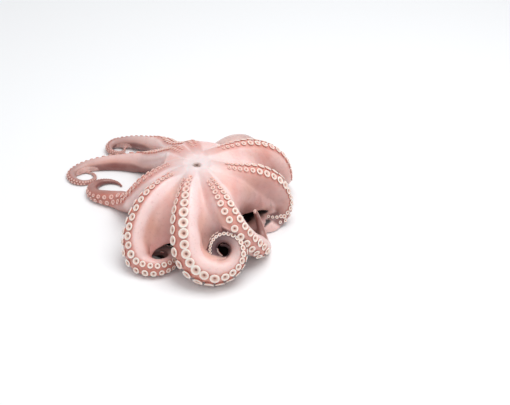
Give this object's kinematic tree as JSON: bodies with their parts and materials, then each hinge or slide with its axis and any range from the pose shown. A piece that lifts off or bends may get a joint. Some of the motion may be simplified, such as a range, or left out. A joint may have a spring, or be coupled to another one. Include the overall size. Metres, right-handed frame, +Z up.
{
  "type": "whole octopus",
  "caption": "Whole octopus at rest with its mouth up, its sucker-lined arms draped down and out to curled tips, the mantle bag folded under the crown.",
  "frame": {"origin": "on the table, under the crown", "axes": "+Z up, from the table to the mouth; -Y towards the front, where the arm with the open spiral lies; +X to the right as seen from the front"},
  "size_m": [0.3444, 0.3864, 0.1158],
  "materials": {
    "skin": "wet, smooth, slightly translucent pink skin, paler around the mouth"
  },
  "bodies": {
    "root": {"octopus": "skin"}
  },
  "joints": []
}
